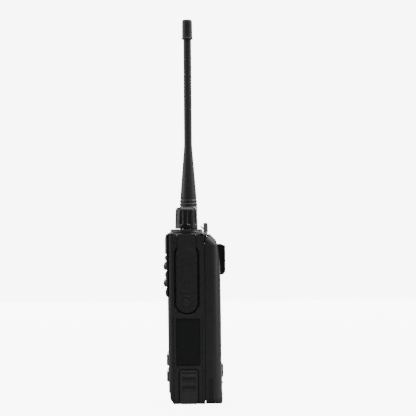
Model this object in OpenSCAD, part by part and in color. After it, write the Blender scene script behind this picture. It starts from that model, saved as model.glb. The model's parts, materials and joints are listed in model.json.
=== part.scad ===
// Hand-held two way radio with a whip antenna and a swing-off battery pack.
// +Z is up, -Y is the front, +X is the side with the accessory sockets.
// The origin is on the base plane, in the middle of the width.

/* [Case] */
// Width of the case
case_w = 55; // [55:0.5:57]
// Height of the case walls
case_h = 118; // [118:0.5:119]
// Depth of the case in front of the origin
front_d = 18.8; // [18.6:0.1:19.2]
// Depth of the case behind the origin, up to the battery seam
seam_d = 7.1; // [7.0:0.05:7.2]
// Thickness of the case walls
wall = 1.9; // [1.8:0.1:2.0]
// How far the upper trim's swells stand in front of the case
trim_d = 1.95; // [1.9:0.05:2.0]

/* [Antenna] */
// Distance of the antenna from the middle of the case
antenna_x = 13; // [12:0.5:14]
// Height of the antenna's tip above the base
antenna_top = 273; // [220:0.5:300]
// Radius of the thin stretch of the whip
whip_r = 2.9; // [2.5:0.1:3.2]
// Radius of the antenna's base
whip_base_r = 6.4; // [6:0.05:6.5]

/* [Volume knob] */
// Distance of the knob from the middle of the case
knob_x = 14; // [13.5:0.5:15]
// Height of the knob
knob_h = 15.2; // [13:0.1:17]
// Radius of the knob's foot
knob_r = 8.15; // [7.8:0.05:8.3]
// Number of finger flutes
flutes = 9; // [6:1:10]

/* [Keys] */
// Width of a lower key
lower_key_w = 12.5; // [11.5:0.1:12.7]
// Spacing of the lower keys across the case
lower_key_pitch = 14.5; // [14.5:0.1:14.8]
// Travel of the front keys
key_travel = 0.5; // [0.3:0.1:0.5]
// Length of the press-to-talk button
ptt_h = 30; // [24:1:32]

/* [Accessory cover] */
// Width of the cover over the sockets
cover_w = 14.8; // [14.4:0.1:15.2]
// Width of the strap that the cover hangs by
strap_w = 12.9; // [12:0.1:13]
// Spacing of the two sockets
jack_pitch = 10.5; // [10.4:0.1:11]

/* [Battery] */
// Depth of the battery's back behind the origin
battery_d = 18.7; // [18.5:0.1:19]
// Height of the belt clip rail
rail_h = 20.5; // [16:0.1:22]
// Width of the belt clip rail's outer flange
rail_w = 24; // [20:1:28]

/* [Latches] */
// Width of a latch
latch_w = 12.3; // [11.5:0.1:12.4]
// How far a latch slides down
latch_travel = 2.5; // [2:0.1:2.5]

/* [Hidden] */
$fn = 64;
eps = 0.01;
gap = 0.3;
half_w = case_w / 2;
inner_x = half_w - wall;
inner_front = -front_d + wall;
floor_t = 2;
trim_front = -front_d - trim_d;
antenna_y = -4;
knob_y = -5.3;
knob_z = 122.9;
top_z = case_h + 1.8;
lip_y = 9.8;
whip_z = 121.9;
flute_turn = 14;
cap_h = 14.4;
cap_z = antenna_top - cap_h;
core_r = 1.2;
stud_r = 2.9;
shaft_r = 3;

trim_low = 75.2;
trim_high = 119.2;
trim_slab = -front_d - 1.7;
trim_floor = -front_d - 0.6;
window_w = 29;
window_h = 26;
window_z = 93.5;
upper_key_x = 20.6;
upper_key_zs = [84.9, 96.7];
upper_key = [7.2, 5.3];
lower_key_rows = [[19, 6.8], [30.7, 7.6]];
lower_key_front = -front_d - 1.1;
flange_back = inner_front + 0.9;
dome_y = flange_back + key_travel + 0.1;
speaker_z = 57.5;
speaker_r = 16;
mic_x = 10;
mic_z = 9.4;

side_y = -5.3;
cover_floor = half_w - 1.4;
cover_face = half_w + 0.4;
cover_low = 71.5;
cover_high = 109.5;
hinge_x = half_w - 1.9;
hinge_z = case_h + 0.3;
knuckle_r = 1.9;
pin_r = 0.75;
jack_z = 96.5;
jack_large_r = 1.8;
jack_small_r = 1.3;
insert_r = 2.6;
screw_clear_r = 2.0;

ptt_z = 85;
ptt_w = 11.6;
side_key_zs = [60, 47];
side_key = [10, 10];

latch_y = -4.35;
latch_h = 23.9;
latch_low = 0.1;
latch_floor = half_w - 2.6;
latch_face = half_w + 0.3;
leg_low = 11.2;
channel_gap = 0.85;
channel_w = latch_w + 2 * channel_gap;
channel_top = latch_low + latch_h + 0.7;

battery_front = seam_d + gap;
battery_half = half_w - 0.3;
battery_corner = 8.6;
shoulder_n = 91.92;
shoulder_corner = 7;
pivot_y = 10.8;
pivot_z = 118.2;
pad_low = 17.6;
pad_high = 26.3;
pad_back = battery_d + 1.2;
rail_top = 110.6;
lug_x = 18;
lug_z = 12;
contact_xs = [-9, -3, 3, 9];
contact_z = 92;

board_y = -8.4;
board_t = 1.2;
board_w = 37;
board_low = 8;
board_high = 102.5;
chassis_front = 4.9;
chassis_back = 6.6;
column_x = 22.3;
column_zs = [30.5, 112];
post_x = 15;
post_zs = [14, 78];

black = [0.07, 0.07, 0.075];
dark = [0.12, 0.12, 0.13];
grey = [0.3, 0.3, 0.32];
metal = [0.72, 0.73, 0.75];
gold = [0.85, 0.68, 0.3];
green = [0.08, 0.32, 0.2];

// ---- shared shapes ----

// Rectangle with round corners, centred.
module rounded(w, h, r) {
    square([w - 2 * r, h], center = true);
    square([w, h - 2 * r], center = true);
    for (x = [-1, 1], y = [-1, 1])
        translate([x * (w / 2 - r), y * (h / 2 - r)]) circle(r);
}

// Upright tablet: round at the bottom (half circle at height low), small corners at the top.
module tablet(w, low, high, r) {
    translate([0, low]) circle(w / 2);
    translate([-w / 2, low]) square([w, high - r - low]);
    translate([-w / 2 + r, high - 2 * r]) square([w - 2 * r, 2 * r]);
    for (x = [-1, 1])
        translate([x * (w / 2 - r), high - r]) circle(r);
}

// Extrudes a front-view outline (x, z) from y0 to y1.
module along_y(y0, y1) {
    translate([0, y1, 0]) rotate([90, 0, 0]) linear_extrude(y1 - y0) children();
}

// Extrudes a side-view outline (y, z) from x0 to x1.
module along_x(x0, x1) {
    translate([x0, 0, 0]) rotate([90, 0, 90]) linear_extrude(x1 - x0) children();
}

module rod_x(r, x0, x1) {
    translate([x0, 0, 0]) rotate([0, 90, 0]) cylinder(r = r, h = x1 - x0);
}

module rod_y(r, y0, y1) {
    translate([0, y1, 0]) rotate([90, 0, 0]) cylinder(r = r, h = y1 - y0);
}

module block(low, high) {
    translate(low) cube(high - low);
}

module both_sides() {
    children();
    mirror([1, 0, 0]) children();
}

// ---- case ----

function arc(cx, cy, r, a0, a1, n) = [
    for (i = [0:n]) let (a = a0 + (a1 - a0) * i / n) [cx + r * cos(a), cy + r * sin(a)]
];

// Side outline of the case: stepped toe at the front, lip over the battery at the rear.
module case_side() {
    polygon(concat(
        [[-15, 0], [-17.4, 3.6], [-17.9, 8.3], [-front_d + 0.4, 8.3], [-front_d, 71]],
        [[-front_d, case_h], [6.2, case_h], [6.2, top_z - 0.1]],
        arc(lip_y - 0.9, top_z - 1, 0.9, 90, -90, 8),
        arc(lip_y, case_h - 3.3, lip_y - seam_d, 110, 180, 7),
        [[seam_d, 0.4], [seam_d - 0.4, 0]]
    ));
}

// Side outline of the rib that closes the seam along the battery, or of its groove in the case.
module seam_rib(room) {
    foot_z = room > 0 ? -1 : 0.4;
    polygon([[10.8, 118.4 + room], [9.5 - room, 118.4 + room], [9.1 - room, 117.3 + room],
             [8.2 - room, 117.1 + room], [7.2 - room, 116.1 + room], [6.9 - room, 115.1 + room],
             [6.9 - room, foot_z], [8.1, foot_z], [8.1, 114.8], [8.6, 115.9], [9.8, 116.4], [10.8, 117.4]]);
}

// Plan outline of the case.
module case_plan() {
    translate([0, (seam_d + 3 - front_d) / 2]) rounded(case_w, front_d + seam_d + 3, 4);
    translate([-half_w, 0]) square([case_w, lip_y + 1]);
}

module case_body() {
    intersection() {
        along_x(-half_w, half_w) case_side();
        translate([0, 0, -1]) linear_extrude(case_h + 4) case_plan();
        along_y(-30, 20) translate([0, top_z / 2]) rounded(case_w, top_z, 2.2);
    }
}

module case_cavity() {
    translate([0, 0, floor_t])
        linear_extrude(case_h - 1.9 - floor_t)
            translate([0, (inner_front + 20) / 2])
                rounded(2 * inner_x, 20 - inner_front, 2.5);
}

// Ridged block inside a side wall, so that a pocket cut from outside keeps its floor.
module inner_pad(x0, y0, y1, z0, z1) {
    block([x0, y0, z0], [inner_x + 0.2, y1, z1]);
}

// Column for a chassis screw, held by the side wall.
module screw_column(z) {
    translate([column_x, 0, z]) rod_y(2.4, -11, chassis_front - 0.1);
    block([column_x, -11, z - 1.8], [inner_x + 0.2, chassis_front - 0.1, z + 1.8]);
}

// Ears beside the strap, which hold the ends of the hinge pin.
module hinge_ears() {
    for (side = [-1, 1])
        translate([0, side_y + side * (strap_w / 2 + gap + 1.2), 0])
            along_y(-1.2, 1.2)
                translate([hinge_x - 0.3, hinge_z - 0.6]) rounded(4, 4.4, 1.4);
}

module latch_pocket() {
    block([latch_floor, latch_y - channel_w / 2, -1], [half_w + 2, latch_y + channel_w / 2, 20]);
    along_x(latch_floor, half_w + 2)
        translate([latch_y, channel_top - 10]) rounded(channel_w, 20, 2.2);
    block([inner_x - 4, latch_y - 1.7, leg_low - latch_travel - gap],
          [latch_floor + 1, latch_y + 1.7, leg_low + 5.1]);
}

module latch_arch() {
    along_x(half_w - 1, half_w + 0.45)
        difference() {
            translate([latch_y, channel_top - 5.9]) rounded(channel_w + 3.6, 16, 3.6);
            translate([latch_y, channel_top - 10]) rounded(channel_w, 20, 2.2);
            translate([latch_y, channel_top - 17.2]) square([40, 25], center = true);
        }
}

module cover_pocket() {
    along_x(cover_floor, half_w + 2)
        translate([side_y, 0]) tablet(cover_w + 0.8, cover_low, cover_high + 0.4, 4.6);
    along_x(half_w - 0.6, half_w + 2)
        translate([side_y, 0]) tablet(cover_w + 3.8, cover_low, cover_high + 1.9, 6);
    block([cover_floor, side_y - strap_w / 2 - gap, 100],
          [half_w + 2, side_y + strap_w / 2 + gap, case_h + 4]);
    translate([hinge_x, side_y, hinge_z])
        rod_y(knuckle_r + gap, -strap_w / 2 - gap, strap_w / 2 + gap);
    translate([hinge_x, side_y, hinge_z]) rod_y(pin_r, -strap_w / 2 - 2.7, strap_w / 2 + 2.7);
}

module side_recess(z0, z1) {
    block([half_w - 0.6, -13.1, z0], [half_w + 1, 3.9, z1]);
}

module side_grooves(z1) {
    block([half_w - 0.45, -15.6, -1], [half_w + 1, -14.4, z1]);
    block([half_w - 0.45, 4.9, -1], [half_w + 1, 5.7, z1]);
}

module key_holes() {
    for (row = lower_key_rows, i = [-1, 0, 1])
        along_y(-30, inner_front + 1)
            translate([i * lower_key_pitch, row[0]])
                rounded(lower_key_w + 2 * gap, row[1] + 2 * gap, 1.3);
    both_sides()
        for (z = upper_key_zs)
            along_y(-30, inner_front + 1)
                translate([upper_key_x, z])
                    rounded(upper_key[0] + 2 * gap, upper_key[1] + 2 * gap, 2.2);
}

module speaker_slots() {
    for (i = [-4:4]) {
        w = 2 * sqrt(pow(speaker_r - 0.5, 2) - pow(i * 3.3, 2));
        along_y(-30, inner_front + 1)
            translate([0, speaker_z + i * 3.3]) rounded(w, 1.3, 0.6);
    }
}

module front_case() {
    color(black)
        difference() {
            union() {
                difference() {
                    case_body();
                    case_cavity();
                }
                inner_pad(cover_floor - 1.9, side_y - 9.9, side_y + 9.9, 60.4, case_h - 1);
                inner_pad(hinge_x - 3.4, side_y - 9.6, side_y + 9.6, case_h - 5, case_h - 1);
                hinge_ears();
                translate([0, side_y, cover_low]) rod_x(4.2, 19.6, cover_floor - 1);
                both_sides() {
                    inner_pad(latch_floor - 1.7, -13.2, 4.5, floor_t - eps, channel_top + 2.3);
                    for (z = column_zs)
                        screw_column(z);
                    latch_arch();
                }
            }
            both_sides() {
                latch_pocket();
                side_grooves(channel_top + 36);
                for (z = column_zs)
                    translate([column_x, 0, z]) rod_y(1.25, -6, 10);
            }
            along_x(-1.3, 1.3) seam_rib(gap);
            side_recess(channel_top + 2.1, 60.2);
            mirror([1, 0, 0]) side_recess(channel_top + 2.1, 38);
            cover_pocket();
            translate([0, side_y, cover_low]) rod_x(insert_r, 10, half_w);
            for (i = [0, 1])
                translate([0, side_y, jack_z - i * jack_pitch]) rod_x(3.6 - 0.3 * i, 10, half_w);
            key_holes();
            speaker_slots();
            along_y(-30, inner_front + 1)
                translate([0, window_z]) rounded(window_w - 2, window_h - 2, 1);
            translate([mic_x, 0, mic_z]) rod_y(0.7, -30, 0);
            mirror([1, 0, 0]) {
                along_x(10, half_w + 2)
                    translate([side_y, ptt_z]) rounded(ptt_w + 2 * gap, ptt_h + 2 * gap, 3.3);
                for (z = side_key_zs)
                    along_x(10, half_w + 2)
                        translate([side_y, z])
                            rounded(side_key[0] + 2 * gap, side_key[1] + 2 * gap, 3.3);
            }
            translate([knob_x, knob_y, 100]) cylinder(r = 3.8, h = 30);
            translate([-antenna_x, antenna_y, 100]) cylinder(r = 4.6, h = 30);
            translate([0, 1, 100]) cylinder(r = 1.6, h = 30);
            strap_pegs(0.03);
        }
}

// Opening around an upper key, open towards the side of the case.
module key_scallop(z) {
    along_y(-30, trim_floor)
        translate([upper_key_x, z]) rounded(9.4, 7, 3.4);
    block([upper_key_x, -30, z - 3.5], [half_w + 5, trim_floor, z + 3.5]);
}

// Low swell of the trim's outline between two heights, as a parabola.
function swell(z0, z1, rise) = [
    for (i = [0:8]) let (t = i / 8) [trim_floor - 4 * rise * t * (1 - t), z0 + (z1 - z0) * t]
];

// Side outline of the trim: slanted top, flat slab, then swells above, between and below the keys.
module trim_side() {
    polygon(concat(
        [[-front_d, trim_high], [trim_floor - 0.3, trim_high], [trim_slab, 116.3], [trim_slab, 105.6]],
        swell(105, 100.4, 1.35), swell(93.5, 88.1, 1.3), swell(81.6, trim_low, 1),
        [[-front_d, trim_low - 1]]
    ));
}

module upper_trim() {
    trim_w = case_w - 0.6;
    color(dark)
        difference() {
            intersection() {
                along_x(-trim_w / 2, trim_w / 2) trim_side();
                along_y(trim_front, -front_d)
                    translate([0, (trim_low + trim_high) / 2])
                        rounded(trim_w, trim_high - trim_low, 3.5);
                translate([0, 0, 50])
                    linear_extrude(80)
                        translate([0, 10 + trim_front / 2])
                            rounded(trim_w, 20 - trim_front, 4.5);
            }
            both_sides()
                for (z = upper_key_zs) {
                    key_scallop(z);
                    along_y(-30, 0)
                        translate([upper_key_x, z])
                            rounded(upper_key[0] + 2 * gap, upper_key[1] + 2 * gap, 2.2);
                }
            along_y(-30, trim_floor) translate([0, 93]) rounded(31, 28, 2);
            along_y(-30, 0) translate([0, window_z]) rounded(window_w + 0.1, window_h + 0.1, 1.5);
        }
}

// Flared collar, from foot radius r1 at the plate to neck radius r0.
module flare(r0, r1, h) {
    rotate_extrude()
        polygon(concat([[0, 0]], [for (i = [0:6])
            let (t = i / 6) [r1 - (r1 - r0) * sin(90 * t), h * (1 - cos(90 * t))]], [[0, h]]));
}

module top_cover() {
    ear_reach = strap_w / 2 + 2.8;
    color(black)
        difference() {
            union() {
                translate([0, 0, case_h])
                    linear_extrude(top_z - case_h) translate([0, -6.3]) rounded(case_w - 1.4, 24.8, 4);
                intersection() {
                    translate([knob_x, knob_y, top_z - eps]) flare(11.3, 13.3, 2.75);
                    block([-30, -19, case_h], [half_w - 0.7, 10, 130]);
                }
                translate([-antenna_x, antenna_y, top_z - eps]) flare(6.8, 10.1, 1.8);
            }
            translate([knob_x, knob_y, 100]) cylinder(r = 3.8, h = 30);
            translate([-antenna_x, antenna_y, 100]) cylinder(r = 4.6, h = 30);
            translate([0, 1, 100]) cylinder(r = 1.6, h = 30);
            translate([hinge_x, side_y, hinge_z])
                rod_y(knuckle_r + 0.7, -strap_w / 2 - gap, strap_w / 2 + gap);
            block([hinge_x, side_y - strap_w / 2 - gap, case_h - 1],
                  [half_w + 2, side_y + strap_w / 2 + gap, case_h + 9]);
            block([hinge_x - 2.6, side_y - ear_reach, case_h - 1],
                  [half_w + 2, side_y + ear_reach, case_h + 2.2]);
        }
}

module lug_windows() {
    both_sides()
        block([lug_x - 1.9, 0, lug_z - 3.8], [lug_x + 2.9, 10, lug_z + 3.8]);
}

module rear_chassis() {
    color(grey)
        difference() {
            union() {
                along_y(chassis_front, chassis_back)
                    translate([0, 59]) rounded(2 * 24.3, 111.6, 2);
                both_sides()
                    for (z = post_zs)
                        translate([post_x, 0, z])
                            rod_y(2.4, board_y + board_t, chassis_front + eps);
                for (z = [40, 48, 56, 64, 72])
                    block([-13, 2.4, z], [13, chassis_front + eps, z + 1.2]);
            }
            lug_windows();
            block([-12, 0, contact_z - 3], [12, 10, contact_z + 3]);
            both_sides() {
                for (z = post_zs)
                    translate([post_x, 0, z]) rod_y(0.9, -20, 1);
                for (z = column_zs)
                    translate([column_x, 0, z]) rod_y(1.3, 0, 10);
                block([column_x - 2.3, chassis_back - 0.8, column_zs[0] - 2.3],
                      [30, 10, column_zs[0] + 2.3]);
                block([column_x - 2.3, chassis_back - 0.8, column_zs[1] - 2.3],
                      [30, 10, 130]);
            }
        }
}

module case_seal() {
    color(dark)
        along_y(5.1, 6.3)
            difference() {
                translate([0, 59.05]) rounded(2 * inner_x - 0.1, 114, 2.5);
                translate([0, 59]) rounded(2 * 24.3 + 0.1, 111.7, 2.05);
            }
}

// Pan-head screw pointing to -Y, with its head on y.
module screw_y(r, length, head_r, head_t) {
    rod_y(r, -length, 0.1);
    difference() {
        rod_y(head_r, 0, head_t);
        block([-head_r, head_t - 0.4, -0.25], [head_r, head_t + 1, 0.25]);
        block([-0.25, head_t - 0.4, -head_r], [0.25, head_t + 1, head_r]);
    }
}

module chassis_screws() {
    color(metal)
        both_sides()
            for (z = column_zs)
                translate([column_x, chassis_back - 0.8, z]) screw_y(1.24, 8, 1.9, 0.75);
}

module board_screws() {
    color(metal)
        both_sides()
            for (z = post_zs)
                translate([post_x, board_y, z])
                    mirror([0, 1, 0]) screw_y(0.89, 6, 1.6, 0.8);
}

// ---- antenna ----

module antenna_socket() {
    color(gold)
        translate([-antenna_x, antenna_y, 0])
            difference() {
                union() {
                    translate([0, 0, 106]) cylinder(r = 4.55, h = top_z + 1.8 - 106);
                    translate([0, 0, 112.5]) cylinder(r = 6, h = 3.5, $fn = 6);
                }
                translate([0, 0, 107.5]) cylinder(r = stud_r + 0.08, h = 30);
            }
}

module antenna_stud() {
    color(gold)
        translate([-antenna_x, antenna_y, 0]) {
            difference() {
                translate([0, 0, 110]) cylinder(r = stud_r, h = whip_z + 4 - 110);
                translate([0, 0, whip_z + 2]) cylinder(r = core_r, h = 30);
            }
            translate([0, 0, 108.2]) cylinder(r = 1, h = 1.9);
        }
}

module antenna_core() {
    color(metal)
        translate([-antenna_x, antenna_y, whip_z + 2]) cylinder(r = core_r, h = cap_z + 8 - whip_z - 2);
}

// Outline of the sleeve from its base to the cap: base, two rings, long taper, whip.
module antenna_sleeve() {
    rings = [[6.35, 138.2], [6, 138.8], [6.35, 139.7], [6.35, 140.4], [5.85, 141.2],
             [6.25, 142], [6.25, 142.7], [5.7, 143.7], [5.9, 144.8], [5.9, 145.4]];
    color(black)
        translate([-antenna_x, antenna_y, 0])
            difference() {
                rotate_extrude()
                    polygon(concat([[0, whip_z], [whip_base_r - 0.5, whip_z]],
                                   [[whip_base_r, whip_z + 0.5]], rings,
                                   [[whip_r + 0.05, 182], [whip_r, 185.3], [whip_r, cap_z], [0, cap_z]]));
                translate([0, 0, whip_z - 1]) cylinder(r = stud_r, h = 5);
                translate([0, 0, whip_z]) cylinder(r = core_r, h = 200);
            }
}

module antenna_cap() {
    color(black)
        translate([-antenna_x, antenna_y, 0])
            difference() {
                rotate_extrude()
                    polygon(concat([[0, cap_z], [4, cap_z], [4, cap_z + 1.2], [3.75, cap_z + 1.6]],
                                   [[3.75, cap_z + 3]], arc(2, antenna_top - 1.7, 1.7, 0, 90, 6),
                                   [[0, antenna_top]]));
                translate([0, 0, cap_z - 1]) cylinder(r = core_r, h = 9);
            }
}

// ---- volume control ----

module volume_knob() {
    flute_h = knob_h - 7.2;
    color(black)
        translate([knob_x, knob_y, knob_z])
            difference() {
                rotate_extrude()
                    polygon([[0, 0], [knob_r - 0.3, 0], [knob_r, 0.4], [knob_r - 0.1, 2],
                             [knob_r - 0.45, knob_h - 1.6], [knob_r - 1.5, knob_h - 0.3],
                             [knob_r - 2.2, knob_h], [0, knob_h]]);
                for (i = [0:flutes - 1])
                    rotate([0, 0, flute_turn + 360 * i / flutes])
                        translate([knob_r + 1.05, 0, 4.2]) {
                            cylinder(r = 2.1, h = flute_h, $fn = 48);
                            sphere(r = 2.1, $fn = 48);
                            translate([0, 0, flute_h]) sphere(r = 2.1, $fn = 48);
                        }
                translate([0, 0, -1]) cylinder(r = 4.6, h = 3);
                translate([0, 0, -1]) cylinder(r = shaft_r, h = knob_h - 2);
            }
}

module volume_shaft() {
    color(metal)
        translate([knob_x, knob_y, 108]) cylinder(r = shaft_r, h = knob_z + knob_h - 3 - 108);
}

module volume_switch() {
    color(metal)
        difference() {
            union() {
                block([knob_x - 5.5, knob_y - 5.5, 105], [knob_x + 5.5, knob_y + 5.5, 115.9]);
                translate([knob_x, knob_y, 110]) cylinder(r = 3.7, h = 11.5);
            }
            translate([knob_x, knob_y, 107.5]) cylinder(r = shaft_r + 0.05, h = 30);
        }
}

// ---- display and keys ----

module display_window() {
    color([0.2, 0.22, 0.25])
        along_y(-front_d - 0.5, -front_d)
            translate([0, window_z]) rounded(window_w - 0.1, window_h - 0.1, 1.45);
}

module display_module() {
    color([0.4, 0.44, 0.42])
        along_y(inner_front + 0.2, -13.9)
            translate([0, window_z]) square([window_w + 3, window_h + 3], center = true);
}

// Domed key with a flange that the wall holds back.
module domed_key(side, z) {
    dome_r = 4.2;
    color(black)
        translate([side * upper_key_x, 0, z]) {
            intersection() {
                along_y(-30, inner_front + 0.1)
                    rounded(upper_key[0], upper_key[1], 2);
                translate([0, -front_d - 3 + dome_r, 0]) sphere(r = dome_r);
            }
            along_y(inner_front + 0.1, flange_back)
                rounded(upper_key[0] - 0.1, upper_key[1] + 1.4, 2);
        }
}

module key_up() {
    domed_key(1, upper_key_zs[1]);
}

module key_down() {
    domed_key(1, upper_key_zs[0]);
}

module key_menu() {
    domed_key(-1, upper_key_zs[1]);
}

module key_back() {
    domed_key(-1, upper_key_zs[0]);
}

module flat_key(column, row, shade) {
    height = lower_key_rows[row][1];
    color(shade)
        translate([column * lower_key_pitch, 0, lower_key_rows[row][0]]) {
            along_y(lower_key_front, inner_front + 0.2)
                rounded(lower_key_w, height, 1.2);
            along_y(inner_front + 0.2, flange_back)
                rounded(lower_key_w + 1.2, height + 1.2, 1.2);
        }
}

module lower_key_1() {
    flat_key(-1, 1, black);
}

module lower_key_2() {
    flat_key(0, 1, black);
}

module lower_key_3() {
    flat_key(1, 1, black);
}

module lower_key_4() {
    flat_key(-1, 0, black);
}

module lower_key_5() {
    flat_key(1, 0, black);
}

module key_emergency() {
    flat_key(0, 0, [0.9, 0.35, 0.08]);
}

// Thin mat with a row of contact domes under the keys.
module upper_key_mat() {
    color(grey)
        both_sides() {
            block([17, -14.9, 80.5], [23.8, -14.3, 101.5]);
            for (z = upper_key_zs)
                translate([upper_key_x, 0, z]) rod_y(1.6, dome_y, -14.8);
        }
}

module lower_key_mat() {
    color(grey) {
        block([-21.5, -14.9, 14.8], [21.5, -14.3, 37]);
        for (row = lower_key_rows, i = [-1, 0, 1])
            translate([i * lower_key_pitch, 0, row[0]]) rod_y(2, dome_y, -14.8);
    }
}

// ---- sound ----

module speaker() {
    color(dark)
        translate([0, 0, speaker_z])
            difference() {
                union() {
                    rod_y(speaker_r, inner_front + 0.1, -14.6);
                    rod_y(12.5, -14.7, -12.6);
                    rod_y(8, -12.7, -9.4);
                }
                translate([0, inner_front + 0.1 - 13.2, 0]) sphere(r = 15);
            }
}

module microphone() {
    color(metal)
        translate([mic_x, 0, mic_z])
            difference() {
                rod_y(2.5, inner_front + 0.1, -14.8);
                rod_y(0.5, -20, -16);
            }
}

// ---- electronics ----

module main_board() {
    color(green)
        difference() {
            block([-board_w / 2, board_y, board_low], [board_w / 2, board_y + board_t, board_high]);
            both_sides()
                for (z = post_zs)
                    translate([post_x, 0, z]) rod_y(1, -20, 0);
            block([12.9, -10, jack_z - jack_pitch - 4.4], [20, 0, jack_z + 4.4]);
        }
}

module rf_shields() {
    color(metal) {
        for (z = [20, 62])
            difference() {
                block([-12.4, board_y + board_t, z], [12.4, board_y + board_t + 3.2, z + 30]);
                for (x = [-8, 0, 8])
                    translate([x, 0, z + 25]) rod_y(0.8, -20, 5);
            }
    }
}

module contact_block() {
    color(dark)
        difference() {
            block([-11.7, 1, contact_z - 2.7], [11.7, chassis_back, contact_z + 2.7]);
            for (x = contact_xs)
                translate([x, 0, contact_z]) rod_y(0.8, -5, 10);
        }
}

module radio_contacts() {
    color(gold)
        for (x = contact_xs)
            translate([x, 0, contact_z]) rod_y(0.8, 1, seam_d + 0.15);
}

module status_led_lens() {
    color([0.75, 0.78, 0.75])
        translate([0, 1, 0]) {
            translate([0, 0, 114.5]) cylinder(r = 1.55, h = top_z - 114.5);
            intersection() {
                translate([0, 0, top_z - 1.3]) sphere(r = 2.1);
                translate([0, 0, top_z - eps]) cylinder(r = 1.55, h = 2);
            }
        }
}

// ---- left side ----

// Side button with a flange inside the wall. It is pressed towards +X.
module side_button(z, w, h, proud) {
    color(black)
        translate([0, side_y, z])
            mirror([1, 0, 0]) {
                along_x(inner_x - 0.4, half_w + proud - 0.5) rounded(w, h, 3);
                along_x(half_w + proud - 0.5, half_w + proud) rounded(w - 1.2, h - 1.2, 2.5);
                along_x(inner_x - 1.1, inner_x - 0.3) rounded(w + 1.4, h + 1.4, 3);
            }
}

module ptt_button() {
    difference() {
        side_button(ptt_z, ptt_w, ptt_h, 1.6);
        for (i = [-3:3])
            translate([0, side_y, ptt_z + i * 3])
                block([-half_w - 5, -3.6, -0.5], [-half_w - 1.2, 3.6, 0.5]);
    }
}

module side_key_upper() {
    side_button(side_key_zs[0], side_key[0], side_key[1], 0.9);
}

module side_key_lower() {
    side_button(side_key_zs[1], side_key[0], side_key[1], 0.9);
}

module side_switch_board() {
    color(green) {
        block([-22.3, side_y - 5.5, 40], [-21.5, side_y + 5.5, 103]);
        for (z = concat([ptt_z], side_key_zs))
            translate([0, side_y, z])
                mirror([1, 0, 0]) rod_x(2.2, 22, z == ptt_z ? 23 : 23.5);
    }
}

// ---- right side ----

module jack_cover() {
    tip = cover_face - 0.6;
    color(black)
        difference() {
            union() {
                along_x(cover_floor + gap, tip)
                    translate([side_y, 0]) tablet(cover_w, cover_low, cover_high, 4.2);
                along_x(tip - eps, cover_face)
                    translate([side_y, 0]) tablet(cover_w - 1.4, cover_low, cover_high - 0.7, 3.6);
                block([cover_floor + gap, side_y - strap_w / 2, 105],
                      [cover_face - 0.2, side_y + strap_w / 2, hinge_z - 0.8]);
                translate([hinge_x, side_y, hinge_z]) rod_y(knuckle_r, -strap_w / 2, strap_w / 2);
                translate([0, side_y, cover_low]) rod_x(4.3, tip, cover_face + 0.3);
            }
            along_x(cover_face - 0.3, cover_face + 1)
                translate([side_y, 91.1]) rounded(9.7, 22.1, 2.5);
            block([cover_face - 0.3, side_y - 6.2, 77.4], [cover_face + 1, side_y + 6.2, 78]);
            translate([hinge_x, side_y, hinge_z]) rod_y(pin_r + 0.05, -20, 20);
            block([hinge_x - 0.4, side_y - 3.6, hinge_z + 0.85], [half_w + 2, side_y + 3.6, hinge_z + 1.5]);
            translate([0, side_y, cover_low]) {
                rod_x(screw_clear_r, 0, 40);
                rod_x(3.5, half_w - 0.3, 40);
            }
        }
}

module jack_cover_pin() {
    color(metal)
        translate([hinge_x, side_y, hinge_z]) rod_y(pin_r, -strap_w / 2 - 2.6, strap_w / 2 + 2.6);
}

module jack_cover_screw() {
    head_x = half_w - 0.2;
    color(metal)
        translate([0, side_y, cover_low])
            difference() {
                union() {
                    rod_x(1.5, 21.5, head_x + eps);
                    rod_x(3.25, head_x, head_x + 0.8);
                    rod_x(2.8, head_x, head_x + 1.2);
                }
                rotate([45, 0, 0]) {
                    block([head_x + 0.6, -2.3, -0.4], [40, 2.3, 0.4]);
                    block([head_x + 0.6, -0.4, -2.3], [40, 0.4, 2.3]);
                }
            }
}

module cover_insert() {
    color(gold)
        translate([0, side_y, cover_low])
            difference() {
                rod_x(insert_r, 19.8, cover_floor - 0.1);
                rod_x(screw_clear_r, 0, 40);
            }
}

module jack_block() {
    color(dark)
        difference() {
            union() {
                block([13, side_y - 4, jack_z - jack_pitch - 4.2], [21, side_y + 4, jack_z + 4.2]);
                block([10, board_y + board_t, 93], [13 + eps, board_y + board_t + 1, 100]);
                translate([0, side_y, jack_z]) rod_x(3.4, 20, cover_floor - 0.4);
                translate([0, side_y, jack_z - jack_pitch]) rod_x(3.1, 20, cover_floor - 0.4);
            }
            translate([0, side_y, jack_z]) rod_x(jack_large_r, 14.5, 40);
            translate([0, side_y, jack_z - jack_pitch]) rod_x(jack_small_r, 14.5, 40);
        }
}

// ---- latches ----

// Latch on the +X side: ribbed thumb plate outside, guide plate inside the case.
module latch() {
    color(black)
        difference() {
            union() {
                along_x(latch_floor + gap, latch_face)
                    translate([latch_y, latch_low + latch_h / 2]) rounded(latch_w, latch_h, 1.6);
                block([22, latch_y - 1.4, leg_low], [latch_floor + gap + eps, latch_y + 1.4, leg_low + 4.8]);
                block([20, latch_y - 2.9, 10.6], [22.9, latch_y + 2.9, 17.5]);
            }
            for (rib = [[20.3, 22.6], [14.4, 19.3], [8.3, 13.3]])
                block([latch_face - 0.9, latch_y - 4.7, rib[0]],
                      [latch_face + 1, latch_y + 4.7, rib[1]]);
        }
}

module latch_right() {
    latch();
}

module latch_left() {
    mirror([1, 0, 0]) latch();
}

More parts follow.
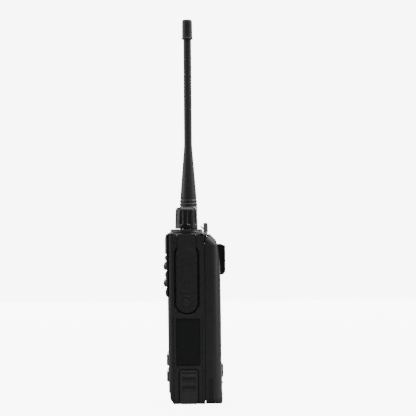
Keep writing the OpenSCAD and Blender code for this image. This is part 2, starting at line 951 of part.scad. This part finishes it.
// Round wire swept along a helix with closed, flat ends.
module coil(r, wire, height, turns) {
    sides = 6;
    steps = 16 * turns;
    rise = height - 2 * wire;
    points = [for (i = [0:steps], k = [0:sides - 1])
        let (a = 360 * i * turns / steps, b = 360 * k / sides, reach = r + wire * cos(b))
            [reach * cos(a), reach * sin(a), wire + rise * i / steps + wire * sin(b)]];
    faces = [for (i = [0:steps - 1]) for (k = [0:sides - 1])
        let (m = (k + 1) % sides)
            [i * sides + k, (i + 1) * sides + k, (i + 1) * sides + m, i * sides + m]];
    ends = [[for (k = [0:sides - 1]) k], [for (k = [sides - 1:-1:0]) steps * sides + k]];
    polyhedron(points, concat(faces, ends), convexity = 10);
}

module latch_spring() {
    color(metal)
        translate([21.3, latch_y, floor_t + 0.05]) coil(1.25, 0.22, 8.4, 5);
}

module latch_spring_right() {
    latch_spring();
}

module latch_spring_left() {
    mirror([1, 0, 0]) latch_spring();
}

// Spring-steel leaves whose teeth hold the battery's lugs.
module catches() {
    color(metal)
        both_sides() {
            block([20, 0.5, lug_z - 3], [20.4, 5.5, lug_z + 3]);
            block([20, 0.5, lug_z + 3 - eps], [20.4, 4.6, 26]);
            block([15.9, chassis_front - 0.4, 20], [20.4, chassis_front - 0.05, 26]);
            block([lug_x + 0.7, 4.7, lug_z - 1.5], [20 + eps, 5.4, lug_z + 1.5]);
        }
}

// ---- battery ----

// Side outline of the battery, or of the room inside it.
module battery_side(inset) {
    crest = inset > 0
        ? [[11.4, 115.2], [9.6, 115.2], [battery_front + inset, 113]]
        : [[11.3, 118.7], [10.9, 118.9], [10.2, 118.5], [10.1, 118], [9.8, 117], [8.6, 116.7],
           [7.8, 115.8], [battery_front, 114.9]];
    polygon(concat(
        [[battery_front + inset, 0.3 + inset], [battery_front + inset + 0.3, inset]],
        [[battery_d - inset, inset], [battery_d + 0.4 - inset, 2 + inset]],
        [[battery_d + 0.4 - inset, pad_low], [battery_d - inset, 30], [battery_d - inset, 60]],
        [[battery_d - 0.3 - inset, 90], [17.9 - inset, 99.6], [16.9 - inset, 108 - inset / 2]],
        [[16.2 - inset, 112.2 - inset], [15.4 - inset, 114.6 - inset]],
        crest
    ));
}

module battery_plan(w, d, r) {
    translate([-w / 2, 0]) square([w, d - r]);
    translate([-w / 2 + r, 0]) square([w - 2 * r, d]);
    for (x = [-1, 1])
        translate([x * (w / 2 - r), d - r]) circle(r);
}

module battery_body(inset) {
    intersection() {
        along_x(-half_w, half_w) battery_side(inset);
        translate([0, 0, -1])
            linear_extrude(125)
                battery_plan(2 * (battery_half - inset), battery_d + 0.4 - inset, battery_corner - inset);
        along_y(-30, 30)
            translate([0, 119 / 2]) rounded(2 * (battery_half - inset), 119, 4);
        rotate([45, 0, 0])
            translate([0, 0, -100])
                linear_extrude(200)
                    battery_plan(2 * (battery_half - inset), shoulder_n - inset, shoulder_corner - inset);
    }
}

// Lower rear corner that the foot fills.
module foot_zone() {
    along_x(-half_w, half_w)
        polygon(concat([[12.6, -1]], arc(12.6, 8.6, 7, -90, 0, 8), [[21, 8.6], [21, -1]]));
}

module battery_case() {
    color(dark)
        difference() {
            union() {
                difference() {
                    battery_body(0);
                    battery_body(1.7);
                    block([-battery_half + 1.7, 0, 2.4],
                          [battery_half - 1.7, battery_front + 1.8, 112]);
                }
                translate([0, pivot_y, pivot_z]) rod_x(0.7, -20, 20);
                along_x(-1, 1)
                    difference() {
                        seam_rib(0);
                        translate([0, 2.4]) square([20, 109.6]);
                    }
                block([-9, battery_d - 1, pad_low], [9, pad_back, pad_high]);
                block([-3, battery_d - 1, 12.6], [3, battery_d + 0.95, 14]);
            }
            foot_zone();
            both_sides() {
                block([battery_half - 1.1, 9.6, -1], [battery_half + 1, 12.4, 17]);
                translate([0, 11, 17]) rod_x(1.4, battery_half - 1.1, battery_half + 1);
            }
            for (x = contact_xs)
                block([x * 0.8 - 1.5, battery_d - 2, pad_low + 0.7],
                      [x * 0.8 + 1.5, pad_back + 1, pad_high - 0.6]);
            for (x = [-5.5, 5.5])
                translate([x, 0, rail_top - 10]) rod_y(1.5, 10, 25);
        }
}

module battery_foot() {
    color(black)
        intersection() {
            translate([0, 0.25, 0]) battery_body(0);
            along_x(-half_w + 0.6, half_w - 0.6)
                polygon(concat([[12.6, -1]], arc(12.6, 8.6, 7.05, -90, 0, 8), [[21, 8.6], [21, -1]]));
        }
}

module lug(side) {
    mirror([side < 0 ? 1 : 0, 0, 0])
        difference() {
            block([lug_x - 1.2, 3.9, lug_z - 3], [lug_x + 1.2, battery_front + 1, lug_z + 3]);
            block([lug_x + 0.4, 4.3, lug_z - 1.9], [lug_x + 2, 5.8, lug_z + 1.9]);
        }
}

module battery_inner_cover() {
    color(dark)
        difference() {
            union() {
                block([-battery_half + 1.8, battery_front, 2.5],
                      [battery_half - 1.8, battery_front + 1.6, 111.9]);
                block([-1, 6.9, 2.5], [1, battery_front + eps, 111.9]);
                lug(1);
                lug(-1);
            }
            for (x = contact_xs)
                block([x - 1.3, battery_front - 1, contact_z - 2.2],
                      [x + 1.3, battery_front + 3, contact_z + 2.2]);
        }
}

module battery_cells() {
    color([0.25, 0.35, 0.5])
        for (x = [-11, 11])
            along_y(9.4, 15.9)
                translate([x, 60]) rounded(20.4, 76, 2);
}

module battery_board() {
    color(green)
        block([-16, 10, 5], [16, 11, 17]);
}

module battery_terminals() {
    color(gold)
        for (x = contact_xs)
            block([x - 1.25, battery_front + 0.1, contact_z - 2.15],
                  [x + 1.25, battery_front + 0.9, contact_z + 2.15]);
}

module charge_contacts() {
    color(gold)
        for (x = contact_xs)
            block([x * 0.8 - 1.45, battery_d - 1.6, pad_low + 0.75],
                  [x * 0.8 + 1.45, pad_back + 0.1, pad_high - 0.65]);
}

// T-shaped rail: a narrow neck against the battery and a wide outer flange with lower shoulders.
module clip_rail() {
    neck_w = rail_w - 6;
    flange_y = 20.7;
    back_y = 22;
    rail_low = rail_top - rail_h;
    color(black)
        difference() {
            union() {
                along_x(-neck_w / 2, neck_w / 2)
                    polygon([[16, rail_top + 1.3], [18.8, rail_top + 1.3], [back_y, rail_top - 0.1],
                             [back_y, rail_low + 2.5], [back_y - 1.5, rail_low], [16, rail_low]]);
                intersection() {
                    along_y(flange_y, back_y)
                        translate([0, rail_top - rail_h / 2]) rounded(rail_w, rail_h, 1.5);
                    along_x(-30, 30)
                        polygon([[18, rail_top - 0.9], [back_y + 1, rail_top - 2.4],
                                 [back_y + 1, rail_low + 4.2], [back_y - 1.5, rail_low], [18, rail_low]]);
                }
            }
            battery_body(0);
            block([-4, flange_y - 1.5, rail_top - 6], [4, back_y + 1, rail_top - 3.4]);
            for (x = [-5.5, 5.5])
                translate([x, 0, rail_top - 10]) {
                    rod_y(1.5, 0, 30);
                    rod_y(2.8, flange_y - 0.6, 30);
                }
        }
}

module clip_rail_screws() {
    color(metal)
        for (x = [-5.5, 5.5])
            translate([x, 20.1, rail_top - 10]) screw_y(1.45, 4.5, 2.6, 1.4);
}

// ---- strap loop ----

// Pegs under the loop's legs, and the holes that they fill.
module strap_pegs(clearance) {
    for (x = [-5.9, 5.9])
        translate([x - antenna_x + 1, 7.9, top_z - 0.95])
            cube([2 + 2 * clearance, 1.6 + 2 * clearance, 2], center = true);
}

module strap_loop() {
    low = top_z - 0.1;
    color(grey) {
        translate([-antenna_x + 1, 0, 0])
            difference() {
                along_x(-7.2, 7.2)
                    polygon([[6.5, low], [8.9, low], [9.9, low + 0.6], [9.7, 125.9], [9.2, 126.8],
                             [7, 126.8], [6.5, 126.2], [6.5, 123.4], [4.8, 124.8], [4.2, 124.1],
                             [6.5, 122.1]]);
                block([-4.6, 0, low - 1], [4.6, 20, 124.4]);
            }
        strap_pegs(0);
    }
}

front_case();
upper_trim();
top_cover();
rear_chassis();
case_seal();
chassis_screws();
board_screws();
antenna_socket();
antenna_stud();
antenna_core();
antenna_sleeve();
antenna_cap();
volume_knob();
volume_shaft();
volume_switch();
display_window();
display_module();
key_up();
key_down();
key_menu();
key_back();
upper_key_mat();
lower_key_1();
lower_key_2();
lower_key_3();
lower_key_4();
lower_key_5();
key_emergency();
lower_key_mat();
speaker();
microphone();
main_board();
rf_shields();
contact_block();
radio_contacts();
status_led_lens();
ptt_button();
side_key_upper();
side_key_lower();
side_switch_board();
jack_cover();
jack_cover_pin();
jack_cover_screw();
cover_insert();
jack_block();
latch_left();
latch_right();
latch_spring_left();
latch_spring_right();
catches();
battery_case();
battery_inner_cover();
battery_cells();
battery_board();
battery_terminals();
charge_contacts();
battery_foot();
clip_rail();
clip_rail_screws();
strap_loop();
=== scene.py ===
"""Looks of a hand-held two way radio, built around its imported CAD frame."""

import json
import math

import bmesh
import bpy
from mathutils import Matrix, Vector

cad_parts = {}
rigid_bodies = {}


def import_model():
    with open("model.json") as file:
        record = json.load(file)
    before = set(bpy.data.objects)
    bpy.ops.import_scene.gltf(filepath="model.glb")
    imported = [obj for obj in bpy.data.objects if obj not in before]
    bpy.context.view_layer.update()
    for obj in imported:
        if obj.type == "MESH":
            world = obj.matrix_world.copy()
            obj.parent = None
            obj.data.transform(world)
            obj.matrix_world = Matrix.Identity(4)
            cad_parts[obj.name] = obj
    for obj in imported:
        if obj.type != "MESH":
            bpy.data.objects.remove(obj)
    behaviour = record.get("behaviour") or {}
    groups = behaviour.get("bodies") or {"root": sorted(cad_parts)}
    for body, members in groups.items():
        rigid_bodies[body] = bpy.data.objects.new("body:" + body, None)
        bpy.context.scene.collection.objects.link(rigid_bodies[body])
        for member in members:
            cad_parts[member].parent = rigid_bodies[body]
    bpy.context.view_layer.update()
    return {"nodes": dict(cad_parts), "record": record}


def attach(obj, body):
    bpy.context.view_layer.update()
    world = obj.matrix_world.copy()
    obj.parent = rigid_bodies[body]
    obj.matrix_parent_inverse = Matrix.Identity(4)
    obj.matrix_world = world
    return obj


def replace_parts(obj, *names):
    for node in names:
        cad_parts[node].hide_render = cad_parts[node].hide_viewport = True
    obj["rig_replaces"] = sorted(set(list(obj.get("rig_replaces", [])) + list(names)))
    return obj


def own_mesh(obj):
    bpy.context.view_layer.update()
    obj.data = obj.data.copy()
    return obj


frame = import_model()
MM = 0.001
EDGE_RADIUS = 0.35  # mm, how far the shading rounds a moulded edge
CREASE = math.radians(30)  # an edge that folds by more than this stays sharp
BODY_OF = {n: b for b, ns in frame["record"]["behaviour"]["bodies"].items() for n in ns}
SLOT_OF = {s["node"]: s["material_slot"] for s in frame["record"]["subparts"]}

# ---------------------------------------------------------------- materials


class Nodes:
    """Short calls for building one material's node tree."""

    def __init__(self, name):
        self.material = bpy.data.materials.new(name)
        self.material.use_nodes = True
        self.tree = self.material.node_tree
        self.shader = self.tree.nodes["Principled BSDF"]
        self.coords = self.tree.nodes.new("ShaderNodeTexCoord")

    def link(self, a, b):
        """Joins an output to an input."""
        self.tree.links.new(a, b)

    def noise(self, size_mm, detail=3.0, rough=0.55):
        """Noise whose features are about size_mm across."""
        node = self.tree.nodes.new("ShaderNodeTexNoise")
        node.inputs["Scale"].default_value = 1 / (size_mm * MM)
        node.inputs["Detail"].default_value = detail
        node.inputs["Roughness"].default_value = rough
        self.link(self.coords.outputs["Object"], node.inputs["Vector"])
        return node.outputs["Fac"]

    def cells(self, size_mm):
        """Voronoi distance, for a pebbled mould texture."""
        node = self.tree.nodes.new("ShaderNodeTexVoronoi")
        node.inputs["Scale"].default_value = 1 / (size_mm * MM)
        self.link(self.coords.outputs["Object"], node.inputs["Vector"])
        return node.outputs["Distance"]

    def ramp(self, value, low, high, at=(0.3, 0.7)):
        """Maps value between at onto low..high, which are numbers or colours."""
        if isinstance(low, (int, float)):
            node = self.tree.nodes.new("ShaderNodeMapRange")
            for key, number in zip(("From Min", "From Max", "To Min", "To Max"), (*at, low, high)):
                node.inputs[key].default_value = number
            self.link(value, node.inputs["Value"])
            return node.outputs["Result"]
        node = self.tree.nodes.new("ShaderNodeMix")
        node.data_type = "RGBA"
        node.inputs[6].default_value = (*low, 1)
        node.inputs[7].default_value = (*high, 1)
        self.link(self.ramp(value, 0.0, 1.0, at), node.inputs[0])
        return node.outputs[2]

    def worn_edges(self):
        """A normal that turns over every edge, as a moulded edge's small radius does.

        Only the shading is rounded: the mesh keeps its edge, and the exported mesh has none of this.
        """
        node = self.tree.nodes.new("ShaderNodeBevel")
        node.samples = 6
        node.inputs["Radius"].default_value = EDGE_RADIUS * MM
        return node.outputs[0]

    def bump(self, height, depth_mm, normal=None):
        """A normal that follows a height, on top of another normal if one is given."""
        node = self.tree.nodes.new("ShaderNodeBump")
        node.inputs["Distance"].default_value = depth_mm * MM
        node.inputs["Strength"].default_value = 1
        self.link(height, node.inputs["Height"])
        if normal is not None:
            self.link(normal, node.inputs["Normal"])
        return node.outputs[0]

    def set(self, **values):
        """Sets or links the shader's sockets, with _ for each space in a name, and gives the material."""
        for key, value in values.items():
            socket = self.shader.inputs[key.replace("_", " ")]
            if hasattr(value, "is_linked"):
                self.link(value, socket)
            else:
                socket.default_value = value
        return self.material


def plastic(name, dark, light, rough=(0.42, 0.55), grain=0.22, depth=0.012, specular=0.5):
    """Moulded plastic or elastomer: fine spark-eroded grain, faint cloudiness, uneven gloss."""
    n = Nodes(name)
    cloud = n.noise(9, 4)
    smear = n.noise(2.5, 5, 0.65)
    fine = n.noise(grain, 2)
    normal = n.bump(fine, depth, n.worn_edges())
    normal = n.bump(n.cells(grain * 2.2), depth * 0.7, normal)
    return n.set(Base_Color=n.ramp(cloud, dark, light), Roughness=n.ramp(smear, rough[0], rough[1]),
                 Specular_IOR_Level=specular, Normal=normal)


def metal(name, dark, light, rough=(0.25, 0.4), grain=0.3, depth=0.004):
    """Metal with fine tool marks."""
    n = Nodes(name)
    marks = n.noise(grain, 4, 0.6)
    return n.set(Base_Color=n.ramp(n.noise(3, 4), dark, light), Metallic=1.0,
                 Roughness=n.ramp(marks, rough[0], rough[1]), Normal=n.bump(marks, depth))


def circuit_board(name):
    """Solder mask with copper tracks showing through as paler lines."""
    n = Nodes(name)
    brick = n.tree.nodes.new("ShaderNodeTexBrick")
    brick.inputs["Scale"].default_value = 1 / (2.2 * MM)
    brick.inputs["Mortar Size"].default_value = 0.03
    n.link(n.coords.outputs["Object"], brick.inputs["Vector"])
    brick.inputs["Color1"].default_value = (0.01, 0.1, 0.05, 1)
    brick.inputs["Color2"].default_value = (0.015, 0.14, 0.07, 1)
    brick.inputs["Mortar"].default_value = (0.05, 0.26, 0.13, 1)
    return n.set(Base_Color=brick.outputs["Color"], Roughness=n.ramp(n.noise(1.5), 0.3, 0.45),
                 Normal=n.bump(brick.outputs["Fac"], 0.02))


def clear(name, tint, rough, alpha):
    """Glossy moulded window or lens, see-through where alpha is below 1."""
    n = Nodes(name)
    return n.set(Base_Color=n.ramp(n.noise(12, 2), tint, [c * 0.9 for c in tint]), Alpha=alpha,
                 Roughness=n.ramp(n.noise(4, 4), rough, rough + 0.04), Specular_IOR_Level=0.6)


MATERIALS = {
    "case_plastic": plastic("case_plastic", (0.010, 0.0103, 0.0108), (0.0125, 0.0128, 0.0134), (0.4, 0.5)),
    "battery_plastic": plastic("battery_plastic", (0.009, 0.0093, 0.0098), (0.011, 0.0114, 0.012),
                               (0.42, 0.52)),
    "trim_plastic": plastic("trim_plastic", (0.008, 0.0082, 0.0088), (0.0095, 0.0098, 0.0102), (0.28, 0.36),
                            depth=0.004),
    "knob_plastic": plastic("knob_plastic", (0.009, 0.0092, 0.0095), (0.011, 0.0112, 0.0116), (0.26, 0.34),
                            depth=0.003),
    "antenna_rubber": plastic("antenna_rubber", (0.019, 0.0193, 0.02), (0.023, 0.0234, 0.0242), (0.4, 0.5),
                              depth=0.006),
    "cover_rubber": plastic("cover_rubber", (0.008, 0.0081, 0.0083), (0.0095, 0.0096, 0.0098), (0.5, 0.62),
                            depth=0.01),
    "key_plastic": plastic("key_plastic", (0.008, 0.008, 0.0085), (0.009, 0.009, 0.0095), (0.16, 0.22),
                           depth=0.002),
    "key_orange": plastic("key_orange", (0.62, 0.13, 0.015), (0.7, 0.16, 0.02), (0.3, 0.38), depth=0.003),
    "foot_rubber": plastic("foot_rubber", (0.006, 0.006, 0.0065), (0.008, 0.008, 0.0085), (0.55, 0.68)),
    "window": clear("window", (0.006, 0.0075, 0.009), 0.05, 1.0),
    "display": plastic("display", (0.01, 0.014, 0.016), (0.012, 0.017, 0.02), (0.12, 0.16), depth=0.0005),
    "lens": clear("lens", (0.55, 0.6, 0.55), 0.25, 0.8),
    "chassis_metal": metal("chassis_metal", (0.32, 0.32, 0.33), (0.42, 0.42, 0.43), (0.4, 0.55), 0.5, 0.02),
    "steel": metal("steel", (0.5, 0.5, 0.52), (0.62, 0.62, 0.64), (0.22, 0.36)),
    "dark_steel": metal("dark_steel", (0.06, 0.06, 0.065), (0.09, 0.09, 0.095), (0.3, 0.42)),
    "brass": metal("brass", (0.55, 0.38, 0.15), (0.66, 0.48, 0.2), (0.2, 0.34)),
    "gold_contacts": metal("gold_contacts", (0.72, 0.5, 0.2), (0.83, 0.6, 0.26), (0.16, 0.26)),
    "circuit_board": circuit_board("circuit_board"),
    "seal_rubber": plastic("seal_rubber", (0.02, 0.02, 0.021), (0.026, 0.026, 0.027), (0.55, 0.66)),
    "inner_plastic": plastic("inner_plastic", (0.012, 0.012, 0.013), (0.016, 0.016, 0.017), (0.4, 0.5)),
    "cell_wrap": plastic("cell_wrap", (0.02, 0.06, 0.16), (0.025, 0.075, 0.19), (0.25, 0.34), depth=0.003),
    "speaker_cone": plastic("speaker_cone", (0.015, 0.015, 0.015), (0.024, 0.023, 0.022), (0.7, 0.85),
                            0.4, 0.03),
    "loop_metal": plastic("loop_metal", (0.2, 0.204, 0.21), (0.26, 0.264, 0.27), (0.3, 0.4), 0.25, 0.006),
}
# Paler copy of the case plastic for the latches: painted light, standing in for the light that the pale
# floor throws up onto the radio's lower part.
LATCH_PAINTED_LIGHT_PLASTIC = plastic("latch_painted_light_plastic", (0.022, 0.0225, 0.021), (0.026, 0.0265, 0.025), (0.42, 0.52))
GRIP = plastic("grip_panel", (0.004, 0.0042, 0.0045), (0.005, 0.0052, 0.0056), (0.6, 0.7), specular=0.3)

# ---------------------------------------------------------------- mesh helpers


def add_part(name, mesh, node, material=None):
    """Links a mesh as a piece that rides with a CAD node and has its material slot."""
    piece = bpy.data.objects.new(name, mesh)
    bpy.context.scene.collection.objects.link(piece)
    mesh.materials.clear()
    mesh.materials.append(material or MATERIALS[SLOT_OF[node]])
    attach(piece, BODY_OF[node])
    return piece


def add_piece(name, mesh, node):
    """Links a mesh as the piece that stands for a CAD node."""
    piece = add_part(name, mesh, node)
    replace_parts(piece, node)
    return piece


def soften(piece):
    """Smooth shading that keeps large faces flat."""
    for polygon in piece.data.polygons:
        polygon.use_smooth = True
    weighted = piece.modifiers.new("weighted", "WEIGHTED_NORMAL")
    weighted.weight = 60
    return piece


def shell(node):
    """A piece with a CAD node's own surface, welded, with smooth curves and crisp edges."""
    bm = bmesh.new()
    bm.from_mesh(frame["nodes"][node].data)
    bmesh.ops.remove_doubles(bm, verts=bm.verts, dist=2e-6)
    for face in bm.faces:
        face.smooth = True
    for edge in bm.edges:
        edge.smooth = edge.calc_face_angle(0) < CREASE
    mesh = bpy.data.meshes.new(node + "_shell")
    bm.to_mesh(mesh)
    bm.free()
    return add_piece(node + "_shell", mesh, node)


def prism(name, outline, x0, x1, node, material=None):
    """A closed solid with a side outline of (y, z) points in mm, between x0 and x1 in mm."""
    bm = bmesh.new()
    near = [bm.verts.new((x0 * MM, y * MM, z * MM)) for y, z in outline]
    far = [bm.verts.new((x1 * MM, y * MM, z * MM)) for y, z in outline]
    bm.faces.new(near)
    bm.faces.new(far[::-1])
    for i, start in enumerate(near):
        bm.faces.new((start, near[i - 1], far[i - 1], far[i]))
    bmesh.ops.recalc_face_normals(bm, faces=bm.faces)
    mesh = bpy.data.meshes.new(name)
    bm.to_mesh(mesh)
    bm.free()
    return soften(add_part(name, mesh, node, material))


def arc(y, z, radius, start, end, count=12):
    """Points on an arc in the side view, angles in degrees from +Y towards +Z."""
    turns = [math.radians(start + (end - start) * i / count) for i in range(count + 1)]
    return [(y + radius * math.cos(a), z + radius * math.sin(a)) for a in turns]


def rectangle(y0, y1, z0, z1):
    """Corners of a rectangle in the side view."""
    return [(y0, z0), (y1, z0), (y1, z1), (y0, z1)]


# ---------------------------------------------------------------- pieces (measures in mm, in the CAD frame)

SHELLS = (
    "front_case", "upper_trim", "top_cover", "volume_knob", "antenna_sleeve", "antenna_cap", "jack_cover",
    "jack_cover_screw", "latch_left", "latch_right", "battery_case", "battery_foot", "battery_inner_cover",
    "clip_rail", "strap_loop", "ptt_button", "side_key_upper", "side_key_lower", "key_up", "key_down",
    "key_menu", "key_back", "lower_key_1", "lower_key_2", "lower_key_3", "lower_key_4", "lower_key_5",
    "key_emergency")

COVER_Y = -5.3  # middle of the accessory cover
COVER_LOW = 71.5  # height of the centre of its round lower end
STEP_X = 26.9  # the flat step in the case around the cover
STEP_REACH = 0.02
POCKET_HALF = 7.8
POCKET_REACH = 0.1
POCKET_LOW, POCKET_HIGH = 61.5, 110.5
POCKET_FLOOR_X, CASE_FACE_X = 26.15, 27.45

LATCH_Y = -4.35
LATCH_FACE = 27.8
WEDGE_HALF = 4.68  # half of a wedge's width
WEDGE_BACK, WEDGE_DEEP, WEDGE_SHALLOW = 0.95, 0.85, 0.1  # how far below the latch's face
WEDGE_CREST = 0.35  # height of the flat at the shallow end
WEDGE_SHORT = 0.9  # how far the deep end stops short of the groove's end
WEDGE_HEIGHTS = ((14.45, 19.2), (8.35, 13.2), (20.35, 22.4))

GRIP_Y = (-12.3, 3.1)  # centres of the grip panel's corner rounds
GRIP_Z = (27.8, 59.4)
GRIP_CORNER = 0.6
GRIP_X = (26.85, 27.15)

PANEL = 27.6  # face of the cover's panel
SINK = 0.02  # how deep the signs' backs lie under it
LINE_RELIEF, SOLID_RELIEF = 0.16, 0.2  # how far the thin and the full signs stand out
HEADSET_Z, HEADSET_OUTER, HEADSET_INNER = 96, 2.9, 2.4
CUP_OFF, CUP_HALF, CUP_LOW = 2.6, 0.55, 94.2
MICROPHONE_Z, MICROPHONE_RADIUS = (85.6, 87.6), 0.85
CRADLE_Z, CRADLE_OUTER, CRADLE_INNER = 85.8, 1.9, 1.45
STEM_HALF, STEM_Z = 0.25, (82.6, 84)
FOOT_HALF, FOOT_Z = 1.3, (82.2, 82.6)


def latch_springs():
    """A piece for each latch's coil spring, with its own copy of the spring's mesh."""
    for side in ("left", "right"):
        coil = shell(f"latch_spring_{side}")
        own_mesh(coil)


def slope_pocket():
    """Turns the flat step around the cover into one slope, from the case's face to the pocket's floor."""
    for vertex in bpy.data.objects["front_case_shell"].data.vertices:
        x, y, z = vertex.co / MM
        off_middle = math.hypot(y - COVER_Y, min(z - COVER_LOW, 0))
        if abs(x - STEP_X) < STEP_REACH and z > POCKET_LOW:
            inner = off_middle < POCKET_HALF + POCKET_REACH and z < POCKET_HIGH
            vertex.co.x = (POCKET_FLOOR_X if inner else CASE_FACE_X) * MM


def latch_wedges():
    """Wedges in the latches' grips: each slopes from its groove's floor up to the next ridge."""
    for side, name in ((1, "latch_right"), (-1, "latch_left")):
        for number, (low, high) in enumerate(WEDGE_HEIGHTS):
            bm = bmesh.new()
            section = [(LATCH_FACE - WEDGE_BACK, low), (LATCH_FACE - WEDGE_SHALLOW, low),
                       (LATCH_FACE - WEDGE_SHALLOW, low + WEDGE_CREST),
                       (LATCH_FACE - WEDGE_DEEP, high - WEDGE_SHORT),
                       (LATCH_FACE - WEDGE_BACK, high - WEDGE_SHORT)]
            ends = [[bm.verts.new((side * x * MM, (LATCH_Y + y) * MM, z * MM)) for x, z in section]
                    for y in (-WEDGE_HALF, WEDGE_HALF)]
            bm.faces.new(ends[0])
            bm.faces.new(ends[1][::-1])
            for i in range(len(section)):
                bm.faces.new((ends[0][i], ends[0][i - 1], ends[1][i - 1], ends[1][i]))
            bmesh.ops.recalc_face_normals(bm, faces=bm.faces)
            wedge = bpy.data.meshes.new(f"{name}_wedge_{number}")
            bm.to_mesh(wedge)
            bm.free()
            # The wedges take the paler plastic, which is painted light.
            add_part(f"{name}_wedge_{number}", wedge, name, LATCH_PAINTED_LIGHT_PLASTIC)
        # The latch itself gets the same paler plastic, painted light, in place of its slot's material.
        bpy.data.objects[f"{name}_shell"].data.materials[0] = LATCH_PAINTED_LIGHT_PLASTIC


def grip_panel():
    """Darker grip panel that lies in the right side's recess, below the cover."""
    (front, back), (low, high) = GRIP_Y, GRIP_Z
    outline = (arc(front, low, GRIP_CORNER, 180, 270, 4) + arc(back, low, GRIP_CORNER, 270, 360, 4)
               + arc(back, high, GRIP_CORNER, 0, 90, 4) + arc(front, high, GRIP_CORNER, 90, 180, 4))
    prism("grip_panel_right", outline, *GRIP_X, "front_case", material=GRIP)


def sign(name, outline, relief):
    """A raised shape on the accessory cover's panel."""
    prism(name, outline, PANEL - SINK, PANEL + relief, "jack_cover")


def cover_signs():
    """A headset over the large socket, and a microphone on its stand over the small one."""
    sign("sign_headset_arc", arc(COVER_Y, HEADSET_Z, HEADSET_OUTER, 0, 180)
         + arc(COVER_Y, HEADSET_Z, HEADSET_INNER, 180, 0), LINE_RELIEF)
    for side, name in ((-1, "left"), (1, "right")):
        middle = COVER_Y + side * CUP_OFF
        cup = rectangle(middle - CUP_HALF, middle + CUP_HALF, CUP_LOW, HEADSET_Z)
        sign(f"sign_headset_cup_{name}", cup, SOLID_RELIEF)
    low, high = MICROPHONE_Z
    sign("sign_microphone", arc(COVER_Y, high, MICROPHONE_RADIUS, 0, 180)
         + arc(COVER_Y, low, MICROPHONE_RADIUS, 180, 360), SOLID_RELIEF)
    sign("sign_cradle", arc(COVER_Y, CRADLE_Z, CRADLE_OUTER, 180, 360)
         + arc(COVER_Y, CRADLE_Z, CRADLE_INNER, 360, 180), LINE_RELIEF)
    sign("sign_stem", rectangle(COVER_Y - STEM_HALF, COVER_Y + STEM_HALF, *STEM_Z), LINE_RELIEF)
    sign("sign_foot", rectangle(COVER_Y - FOOT_HALF, COVER_Y + FOOT_HALF, *FOOT_Z), LINE_RELIEF)


for cad_node in SHELLS:
    shell(cad_node)
latch_springs()
slope_pocket()
latch_wedges()
grip_panel()
cover_signs()

replaced = {n for o in bpy.data.objects for n in o.get("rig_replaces", [])}
for cad_node, holder in frame["nodes"].items():
    if cad_node not in replaced:
        holder.data.materials.clear()
        holder.data.materials.append(MATERIALS[SLOT_OF[cad_node]])

# ---------------------------------------------------------------- studio


def soft_box(name, place, target, size, power):
    """Rectangular studio light at place, in metres and watts, turned towards target."""
    light = bpy.data.lights.new(name, "AREA")
    light.shape = "RECTANGLE"
    light.size, light.size_y = size
    light.energy = power
    holder = bpy.data.objects.new(name, light)
    bpy.context.scene.collection.objects.link(holder)
    holder.location = place
    holder.rotation_euler = (Vector(target) - Vector(place)).to_track_quat("-Z", "Y").to_euler()


def to_the_eye(tree, seen, other):
    """One value for what the eye sees directly and another for everything else."""
    path = tree.nodes.new("ShaderNodeLightPath")
    choose = tree.nodes.new("ShaderNodeMapRange")
    choose.inputs["To Min"].default_value = other
    choose.inputs["To Max"].default_value = seen
    tree.links.new(path.outputs["Is Camera Ray"], choose.inputs["Value"])
    return choose.outputs["Result"]


def white_floor(seen):
    """Pale floor, lit up to the eye as much as the background is."""
    n = Nodes("floor_white")
    n.set(Base_Color=n.ramp(n.noise(40, 2), (0.38, 0.38, 0.38), (0.42, 0.42, 0.42)), Roughness=0.7,
          Emission_Color=(1, 1, 1, 1), Emission_Strength=to_the_eye(n.tree, seen, 0.0))
    bm = bmesh.new()
    bmesh.ops.create_grid(bm, x_segments=4, y_segments=4, size=12)
    mesh = bpy.data.meshes.new("floor")
    bm.to_mesh(mesh)
    bm.free()
    mesh.materials.append(n.material)
    floor = bpy.data.objects.new("floor", mesh)
    bpy.context.scene.collection.objects.link(floor)
    floor.location = (0, 0, -0.0002)


def surroundings(seen, lit):
    """White to the eye and dim as a light, so that dark faces stay dark."""
    world = bpy.data.worlds.new("studio")
    bpy.context.scene.world = world
    world.use_nodes = True
    tree = world.node_tree
    tree.links.new(to_the_eye(tree, seen, lit), tree.nodes["Background"].inputs["Strength"])
    tree.nodes["Background"].inputs["Color"].default_value = (1, 1, 1, 1)


def camera():
    """Level view of the right side, a little rolled, with the base plane low in the frame."""
    near_x = 0.0275
    distance = 1.5
    seen_width = 0.2912
    eye_y, eye_height = 0.0100, 0.1374
    roll = math.radians(0.46)
    data = bpy.data.cameras.new("camera")
    data.sensor_width = 36
    data.lens = data.sensor_width * distance / seen_width
    holder = bpy.data.objects.new("camera", data)
    bpy.context.scene.collection.objects.link(holder)
    holder.location = (near_x + distance, eye_y, eye_height)
    holder.rotation_euler = (math.radians(90), roll, math.radians(90))
    holder.rotation_mode = "XYZ"
    data.clip_start, data.clip_end = 0.05, 60
    bpy.context.scene.camera = holder


white_floor(seen=8.0)
surroundings(seen=8.0, lit=0.09)
soft_box("top_box", (0, 0, 1.4), (0, 0, 0.1), (1.6, 1.6), 26)
soft_box("front_box", (0, -1.5, 0.7), (0, 0, 0.1), (1.2, 1.2), 13)
soft_box("back_box", (0, 1.5, 0.7), (0, 0, 0.1), (1.2, 1.2), 8)
soft_box("rear_wall", (-1.6, 0, 0.35), (0, 0, 0.15), (3.0, 1.4), 60)
soft_box("shoulder_box", (0, 1.15, 1.1), (0, 0, 0.1), (0.7, 0.7), 12)
camera()
